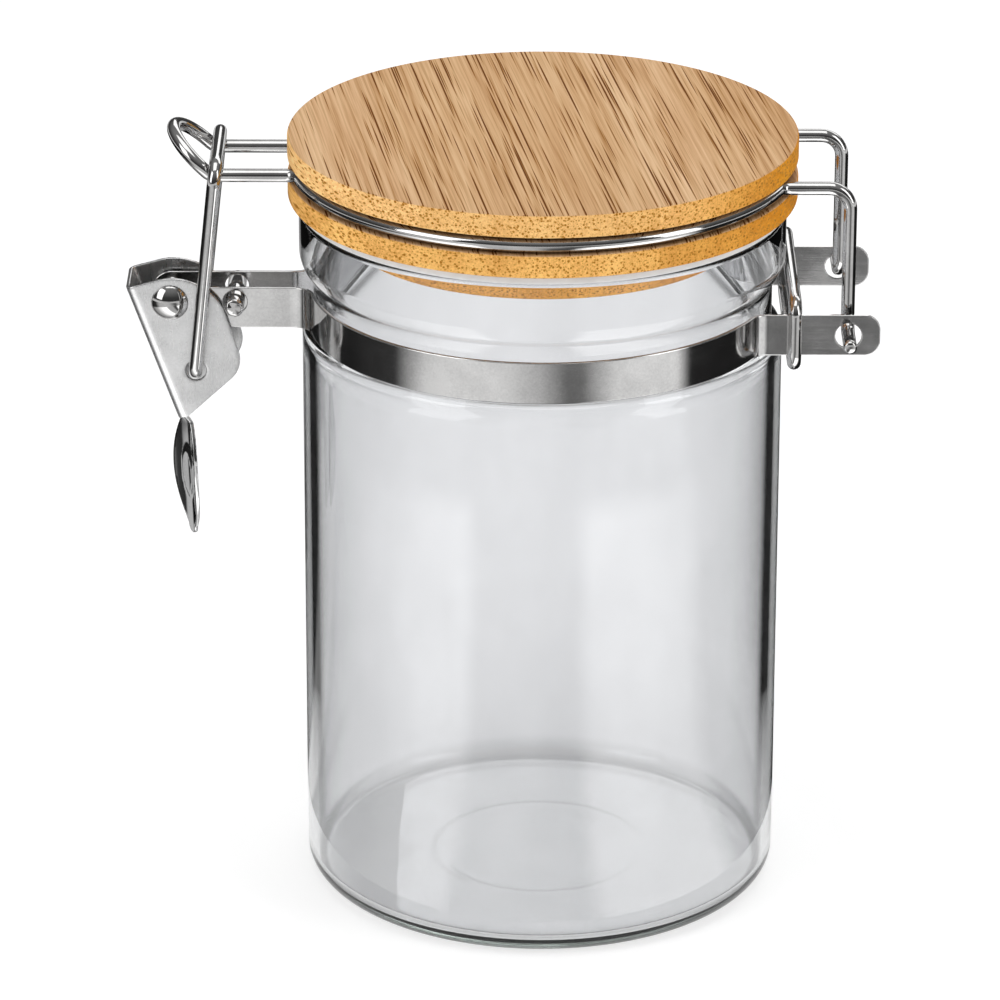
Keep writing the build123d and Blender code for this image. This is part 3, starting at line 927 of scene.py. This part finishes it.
# Painted shade in the glass's colour, standing in for dark surroundings seen at its edges: (how far it
# turns away, 0 square on and 1 edge on, and the darkening there)
OUTSIDE_EDGE_SHADE = (
    (0.60, 1.0), (0.64, 0.85), (0.665, 0.45), (0.69, 0.03), (0.705, 0.001), (0.775, 0.001),
    (0.80, 0.2), (0.84, 0.55), (0.88, 0.7),
)
INSIDE_EDGE_SHADE = (
    (0.12, 1.0), (0.25, 0.94), (0.38, 0.86), (0.50, 0.78), (0.60, 0.62), (0.67, 0.40),
    (0.75, 0.22), (0.835, 0.08), (0.9, 0.03),
)
CORNER_SHADE = ((0.3, 1.0), (0.5, 0.3), (0.7, 0.08), (1.0, 0.05))
NECK_EDGE_SHADE = ((0.65, 1.0), (0.74, 0.55), (0.82, 0.12), (0.92, 0.03))
# Where the glass's painted shade lies on the jar, in millimetres
OUTSIDE_R = (48.4, 48.8)
EDGE_SHADE_FADE_Z = (8.0, 46.0)
CORNER_Z = (4.0, 6.0)
CORNER_R = (45.2, 46.2)
BASE_SHADE_Z = (BASE_THICK + 0.4, BASE_THICK + 3.5)
WALL_SHADE_Z = (8.0, 60.0)
WHITE = (1, 1, 1, 1)


def glass_material():
    """Blown clear glass: gently uneven and faintly grey, with painted shade where it turns edge on, at
    its foot and low on its wall.
    """
    material, tree = new_material("clear_glass")
    waves = noise(tree, coords(tree, (1, 1, 0.35)), 0.028, 1.0)
    smears = noise(tree, coords(tree, (1, 1, 0.5)), 0.09, 3.0)
    body = ramp(tree, smears, [(0.3, (0.825, 0.827, 0.84)), (0.7, (0.865, 0.867, 0.88))])
    height, reach = height_and_reach(tree)
    # Painted shade: darker as the surface turns edge on, standing in for dark surroundings seen in the
    # glass; it fades up the wall, changes at the neck and the foot's corner, and is left off where rays
    # leave the glass
    facing = add(tree, "LayerWeight", {"Blend": 0.5}).outputs["Facing"]
    edge = mixed(tree, fit(tree, reach, *OUTSIDE_R),
                 ramp(tree, facing, INSIDE_EDGE_SHADE), ramp(tree, facing, OUTSIDE_EDGE_SHADE))
    edge = mixed(tree, fit(tree, height, *EDGE_SHADE_FADE_Z, 0.95, 0.0), edge, WHITE)
    at_neck = fit(tree, height, SHOULDER_Z - 1, SHOULDER_Z)
    edge = mixed(tree, at_neck, edge, ramp(tree, facing, NECK_EDGE_SHADE))
    at_corner = times(tree, fit(tree, height, *CORNER_Z, 1.0, 0.0), fit(tree, reach, *CORNER_R))
    edge = mixed(tree, at_corner, edge, ramp(tree, facing, CORNER_SHADE))
    leaving = add(tree, "NewGeometry").outputs["Backfacing"]
    edge = mixed(tree, leaving, edge, WHITE)
    # Painted shade: the base and the low wall are darker than the glass above them
    foot = fit(tree, height, *BASE_SHADE_Z, 0.82, 1.0)
    rise = fit(tree, height, *WALL_SHADE_Z, 0.935, 0.985)
    body = tinted(tree, body, times(tree, foot, rise))
    output = finish_material(tree, {
        "Base Color": tinted(tree, body, edge),
        "Roughness": fit(tree, smears, 0.35, 0.7, 0.0, 0.012),
        "IOR": 1.47,
        "Transmission Weight": 1.0,
        "Normal": bump(tree, waves, 0.3, 0.4),
    })
    inner = add(tree, "VolumeAbsorption", {"Color": (0.66, 0.86, 0.74, 1), "Density": 7.0})
    tree.links.new(inner.outputs["Volume"], output.inputs["Volume"])
    return material


def steel(name, roughness, colour, streaks, satin_beyond=None, polished_below=None):
    """Stainless steel. streaks is the scale of its rolling or drawing marks on X, Y and Z.

    satin_beyond is a distance from the jar's axis, in millimetres, past which it is rougher;
    polished_below is a height, in millimetres, under which it is smoother.
    """
    material, tree = new_material(name)
    lines = noise(tree, coords(tree, streaks), 1.0, 3.0, 0.6)
    clouds = noise(tree, coords(tree), 0.11, 3.0, 0.55)
    specks = noise(tree, coords(tree), 2.2, 2.0, 0.5)
    unevenness = plus(tree, lines, clouds)
    rough = fit(tree, unevenness, 0.75, 1.3, *roughness)
    if satin_beyond:
        reach = height_and_reach(tree)[1]
        rough = plus(tree, rough, fit(tree, reach, satin_beyond, satin_beyond + 5, 0.0, 0.05))
    if polished_below:
        height = height_and_reach(tree)[0]
        gloss = fit(tree, height, polished_below - 2, polished_below + 1, 0.28, 1.0)
        rough = times(tree, rough, gloss)
    dark = [0.8 * c for c in colour]
    shade = plus(tree, times(tree, clouds, 0.7), times(tree, specks, 0.3))
    finish_material(tree, {
        "Base Color": ramp(tree, shade, [(0.34, dark), (0.6, colour)]),
        "Metallic": 1.0,
        "Roughness": rough,
        "Normal": bump(tree, unevenness, 0.12, 0.06),
    })
    return material


def silicone_material():
    material, tree = new_material("silicone")
    clouds = noise(tree, coords(tree), 0.35, 2.0)
    finish_material(tree, {
        "Base Color": ramp(tree, clouds, [(0.3, (0.82, 0.815, 0.81)), (0.7, (0.88, 0.875, 0.87))]),
        "Roughness": fit(tree, clouds, 0.3, 0.7, 0.42, 0.55),
        "IOR": 1.41,
        "Transmission Weight": 0.12,
        "Normal": bump(tree, clouds, 0.15, 0.1),
    })
    return material


# Bamboo: sizes in millimetres; a colour for the top and bottom, and one for the sides
BAMBOO_TURN = (0, 0, radians(-8.5))
STRIP_WIDTH = 15.6
STRIP_START = 78.0
LAYER_HEIGHT = 7.9
PALE_TONES = ((0.36, (0.58, 0.325, 0.155)), (0.5, (0.76, 0.482, 0.268)), (0.64, (0.88, 0.61, 0.37)))
STRIP_TONES = ((0.0, (0.90, 0.86, 0.78)), (1.0, (1.0, 1.0, 1.0)))
# The sides' honey colour, with painted light on the left and painted shade on the right
HONEY_LIT_LEFT, HONEY_SHADED_RIGHT = (1.48, 1.47, 1.14, 1), (1.12, 0.76, 0.10, 1)
HONEY_LIGHT_TO_SHADE_X = (6.0, 44.0)
# Painted shade on the lower disc, under the upper disc and the wire
LOWER_DISC_SHADE = (0.92, 0.84, 0.62, 1)
STREAK_TOP, STREAK_SIDE = (0.14, 0.036, 0.003, 1), (0.38, 0.145, 0.014, 1)
HALO_TOP, HALO_SIDE = (0.38, 0.165, 0.03, 1), (0.56, 0.25, 0.04, 1)
# The plug's sides are tinted and given a painted glow, standing in for light that the glass keeps from
# them
PLUG_TINT = (1.0, 0.88, 0.6, 1)
PLUG_PAINTED_GLOW = 0.38
# Painted shade in the groove between the discs
GROOVE_SHADE = (0.34, 0.25, 0.16, 1)
GROOVE_SHADE_FADE = 0.3


def fibres(tree, across, along, size, edge):
    """Fibre bundles: 1 inside a bundle and 0 between, with a random number for each."""
    vector = coords(tree, (1 / across, 1 / along, 1 / across), BAMBOO_TURN)
    cells = add(tree, "TexVoronoi", {"Vector": vector, "Scale": 1.0})
    pick = add(tree, "SeparateColor", {"Color": cells.outputs["Color"]})
    return fit(tree, cells.outputs["Distance"], size, size + edge, 1.0, 0.0), pick.outputs["Red"]


def fibre_noise(tree, across, along, detail, roughness=0.5):
    """Noise drawn out along the fibres; across and along are its scales, per millimetre."""
    vector = coords(tree, (across, along, across), BAMBOO_TURN)
    return noise(tree, vector, 1.0, detail, roughness)


def bamboo_material():
    """Glued bamboo strips. The fibres run front to back, so streaks show above and dots in front."""
    material, tree = new_material("bamboo")
    split = add(tree, "SeparateXYZ", {"Vector": coords(tree, turn=BAMBOO_TURN)})
    x, z = split.outputs["X"], split.outputs["Z"]
    place = maths(tree, "DIVIDE", plus(tree, x, STRIP_START), STRIP_WIDTH)
    layer = maths(tree, "FLOOR", maths(tree, "DIVIDE", z, LAYER_HEIGHT))
    index = plus(tree, maths(tree, "FLOOR", place), times(tree, layer, 7.0))
    chance = add(tree, "TexWhiteNoise", {"W": index}, noise_dimensions="1D").outputs["Value"]

    thick, thick_pick = fibres(tree, 0.70, 66.0, 0.18, 0.20)
    thin, thin_pick = fibres(tree, 0.48, 38.0, 0.18, 0.20)
    pore, pore_pick = fibres(tree, 0.74, 60.0, 0.25, 0.16)
    crowding = fibre_noise(tree, 0.07, 0.02, 2.0)
    keep_thick = fit(tree, plus(tree, thick_pick, crowding), 0.74, 0.94)
    keep_thin = fit(tree, plus(tree, thin_pick, crowding), 0.70, 1.1, 0.0, 0.9)
    streaks = maths(tree, "MAXIMUM", times(tree, thick, keep_thick), times(tree, thin, keep_thin))
    dots = times(tree, pore, fit(tree, pore_pick, 0.0, 1.0, 0.5, 0.95))
    hairs = fit(tree, fibre_noise(tree, 2.6, 0.02, 2.0), 0.52, 0.66, 0.0, 0.4)

    grain = fibre_noise(tree, 1.6, 0.02, 4.0, 0.65)
    broad = fibre_noise(tree, 0.13, 0.012, 2.0)
    tone = plus(tree, times(tree, grain, 0.6), times(tree, broad, 0.4))
    strip = ramp(tree, chance, STRIP_TONES)
    top = tinted(tree, ramp(tree, tone, PALE_TONES), strip)

    surface = add(tree, "TexCoord").outputs["Normal"]
    up = add(tree, "SeparateXYZ", {"Vector": surface}).outputs["Z"]
    side = fit(tree, maths(tree, "ABSOLUTE", up), 0.72, 0.85, 1.0, 0.0)
    # Painted light on the left of the sides and painted shade on their right
    honey_lit_to_shaded = mixed(tree, fit(tree, x, *HONEY_LIGHT_TO_SHADE_X), HONEY_LIT_LEFT, HONEY_SHADED_RIGHT)
    # Painted shade on the lower disc
    lower = fit(tree, z, GROOVE_BOTTOM_Z, GROOVE_TOP_Z, 1.0, 0.0)
    honey_lit_to_shaded = mixed(tree, lower, honey_lit_to_shaded, tinted(tree, honey_lit_to_shaded, LOWER_DISC_SHADE))
    wood = mixed(tree, side, top, tinted(tree, tinted(tree, top, strip), honey_lit_to_shaded))
    streak = mixed(tree, side, STREAK_TOP, STREAK_SIDE)
    halo = mixed(tree, side, HALO_TOP, HALO_SIDE)
    dark = mixed(tree, side, streaks, maths(tree, "MAXIMUM", dots, times(tree, streaks, 0.6)))
    wood = mixed(tree, hairs, wood, halo)
    wood = mixed(tree, fit(tree, dark, 0.1, 0.6, 0.0, 0.9), wood, halo)
    wood = mixed(tree, fit(tree, dark, 0.45, 0.9, 0.0, 0.95), wood, streak)

    # The plug's sides: a deeper tint, and the painted glow set below
    plug = times(tree, fit(tree, z, DISC_BOTTOM_Z - 2.5, DISC_BOTTOM_Z - 2.0, 1.0, 0.0), side)
    wood = mixed(tree, plug, wood, tinted(tree, wood, PLUG_TINT))
    # Painted shade in the groove
    groove = times(tree, fit(tree, z, GROOVE_BOTTOM_Z, GROOVE_BOTTOM_Z + GROOVE_SHADE_FADE),
                   fit(tree, z, GROOVE_TOP_Z - GROOVE_SHADE_FADE, GROOVE_TOP_Z, 1.0, 0.0))
    wood = mixed(tree, groove, wood, tinted(tree, wood, GROOVE_SHADE))
    relief = maths(tree, "SUBTRACT", times(tree, grain, 0.4), dark)
    finish_material(tree, {
        "Base Color": wood,
        "Roughness": fit(tree, tone, 0.35, 0.65, 0.62, 0.5),
        "Specular IOR Level": 0.03,
        # The plug's painted glow
        "Emission Color": wood,
        "Emission Strength": times(tree, plug, PLUG_PAINTED_GLOW),
        "Normal": bump(tree, relief, 0.2, 0.1),
    })
    return material


# ---- assembly

band_steel = steel("band_steel", (0.05, 0.12), (0.66, 0.655, 0.65), (0.06, 0.06, 3.0), satin_beyond=52.0)
wire_steel = steel("wire_steel", (0.05, 0.12), (0.50, 0.495, 0.49), (0.5, 0.5, 0.12))
lever_steel = steel("lever_steel", (0.24, 0.36), (0.68, 0.68, 0.68), (1.6, 1.6, 0.12),
                    polished_below=RIVET_Z + TAB_NECK[1])
for piece, material in (
    (build_jar(), glass_material()),
    (build_lid(), bamboo_material()),
    (build_seal(), silicone_material()),
    (build_strap("front_strap", "front_band", 1), band_steel),
    (build_strap("back_strap", "back_band", -1), band_steel),
    (build_link_ring(), wire_steel),
    (build_tie_pin(), wire_steel),
    (build_rivet(), wire_steel),
    (build_lid_wire(), wire_steel),
    (build_lever(), lever_steel),
    (build_bail(), wire_steel),
):
    piece.data.materials.append(material)


# ---- stage, light and camera

# The floor and the ring of cards, in metres
FLOOR_HALF = 8.0
FLOOR_Z = -0.00005
CARDS_INNER_R = 0.065
CARDS_NEAR_R = 0.29
CARDS_OUTER_R = 0.9
CARDS_Z = 0.0005
CARDS_SIDES = 72

# Each tone is (share of the turn, brightness); the near cards are brighter by NEAR_STRENGTH
FAR_TONES = (
    (0.0, 0.03), (0.05, 0.05), (0.095, 0.85), (0.153, 1.0), (0.21, 0.95), (0.25, 0.58),
    (0.28, 0.2), (0.30, 0.2), (0.345, 0.95), (0.428, 1.05), (0.45, 0.02), (0.695, 0.01),
    (0.705, 0.45), (0.808, 0.45), (0.82, 0.01), (0.975, 0.02), (1.0, 0.03),
)
NEAR_TONES = (
    (0.0, 0.1), (0.05, 0.3), (0.10, 0.8), (0.155, 1.0), (0.175, 0.3), (0.24, 0.25), (0.26, 0.05),
    (0.288, 0.04), (0.31, 0.95), (0.38, 1.0), (0.43, 0.75), (0.462, 0.01), (0.695, 0.0),
    (0.705, 0.15), (0.808, 0.15), (0.82, 0.0), (0.895, 0.0), (0.905, 0.2), (0.94, 0.2), (0.95, 0.01),
    (0.985, 0.02), (1.0, 0.1),
)
NEAR_STRENGTH = 3.0
ROOM_TONES = ((0.0, 0.04), (0.4, 0.08), (0.8, 0.3), (1.0, 0.4))


def build_floor():
    """A plain pale floor, a hair below the jar's foot."""
    mesh = bpy.data.meshes.new("floor")
    corners = ((-1, -1), (1, -1), (1, 1), (-1, 1))
    mesh.from_pydata([(x * FLOOR_HALF, y * FLOOR_HALF, FLOOR_Z) for x, y in corners], [], [(0, 1, 2, 3)])
    floor = in_scene("floor", mesh)
    material, tree = new_material("pale_floor")
    drift = noise(tree, add(tree, "TexCoord").outputs["Object"], 0.7, 2.0)
    finish_material(tree, {
        "Base Color": ramp(tree, drift, [(0.3, 0.47), (0.7, 0.5)]),
        "Roughness": 0.9,
        "Emission Color": WHITE,
        "Emission Strength": 0.67,
    })
    mesh.materials.append(material)


def build_cards():
    """Grey, white and black cards round the foot, which only reflections see."""
    turns = [2 * pi * k / CARDS_SIDES for k in range(CARDS_SIDES)]
    points = [(r * cos(a), r * sin(a), CARDS_Z) for r in (CARDS_INNER_R, CARDS_OUTER_R) for a in turns]
    mesh = bpy.data.meshes.new("cards")
    mesh.from_pydata(points, [], bridge(0, CARDS_SIDES, CARDS_SIDES))
    cards = in_scene("cards", mesh)
    material, tree = new_material("card_tones")
    place = add(tree, "TexCoord").outputs["Object"]
    turn = add(tree, "TexGradient", {"Vector": place}, gradient_type="RADIAL").outputs["Fac"]
    near = tinted(tree, ramp(tree, turn, NEAR_TONES), (NEAR_STRENGTH, NEAR_STRENGTH, NEAR_STRENGTH, 1))
    beyond = fit(tree, distance(tree, place), CARDS_NEAR_R - 0.01, CARDS_NEAR_R + 0.01)
    tones = mixed(tree, beyond, near, ramp(tree, turn, FAR_TONES))
    light = add(tree, "Emission", {"Color": tones})
    add(tree, "OutputMaterial", {"Surface": light.outputs["Emission"]})
    mesh.materials.append(material)
    for rays in ("camera", "diffuse", "transmission", "volume_scatter", "shadow"):
        setattr(cards, "visible_" + rays, False)


def softbox(name, place, target, width, height, power):
    """A rectangular soft light at a place, turned to a target; lengths in metres."""
    data = bpy.data.lights.new(name, "AREA")
    data.shape = "RECTANGLE"
    data.size, data.size_y = width, height
    data.energy = power
    light = in_scene(name, data)
    light.location = place
    aim = Vector(target) - Vector(place)
    light.rotation_euler = aim.to_track_quat("-Z", "Y").to_euler()


def build_world():
    """White to the camera and through glass; to the rest, a bright ceiling over a dim room."""
    world = bpy.data.worlds.new("studio")
    bpy.context.scene.world = world
    world.use_nodes = True
    tree = world.node_tree
    tree.nodes.clear()
    direction = add(tree, "TexCoord").outputs["Generated"]
    height = add(tree, "SeparateXYZ", {"Vector": direction}).outputs["Z"]
    room = ramp(tree, fit(tree, height, -0.2, 1.0), ROOM_TONES)
    path = add(tree, "LightPath")
    through = mixed(tree, path.outputs["Is Transmission Ray"], room, (0.9, 0.9, 0.9, 1))
    shade = mixed(tree, path.outputs["Is Camera Ray"], through, WHITE)
    background = add(tree, "Background", {"Color": shade})
    add(tree, "OutputWorld", {"Surface": background.outputs["Background"]})


def build_camera():
    """A long lens that looks down on the jar, turned very slightly about its own axis."""
    elevation, roll = radians(22.444), radians(0.097)
    aim, away = Vector((-8.69, 0, 82.32)) * MM, 1.22387
    data = bpy.data.cameras.new("camera")
    data.sensor_width = 36.0
    data.lens = 209.357568
    camera = in_scene("camera", data)
    camera.location = aim + away * Vector((0, -cos(elevation), sin(elevation)))
    tilt = Matrix.Rotation(pi / 2 - elevation, 4, "X") @ Matrix.Rotation(roll, 4, "Z")
    camera.rotation_euler = tilt.to_euler()
    bpy.context.scene.camera = camera


build_floor()
build_cards()
build_world()
softbox("left_softbox", (-1.0, -0.75, 0.75), (0, 0, 0.09), 0.7, 1.1, 6.4)
softbox("right_softbox", (1.05, -0.55, 0.6), (0, 0, 0.09), 0.45, 1.1, 4.8)
softbox("back_softbox", (0.5, 1.2, 0.9), (0, 0, 0.1), 1.4, 0.7, 6.0)
softbox("top_softbox", (0.0, -0.1, 1.4), (0, 0, 0.1), 1.0, 1.0, 6.0)
build_camera()
bpy.context.scene.view_settings.view_transform = "Standard"
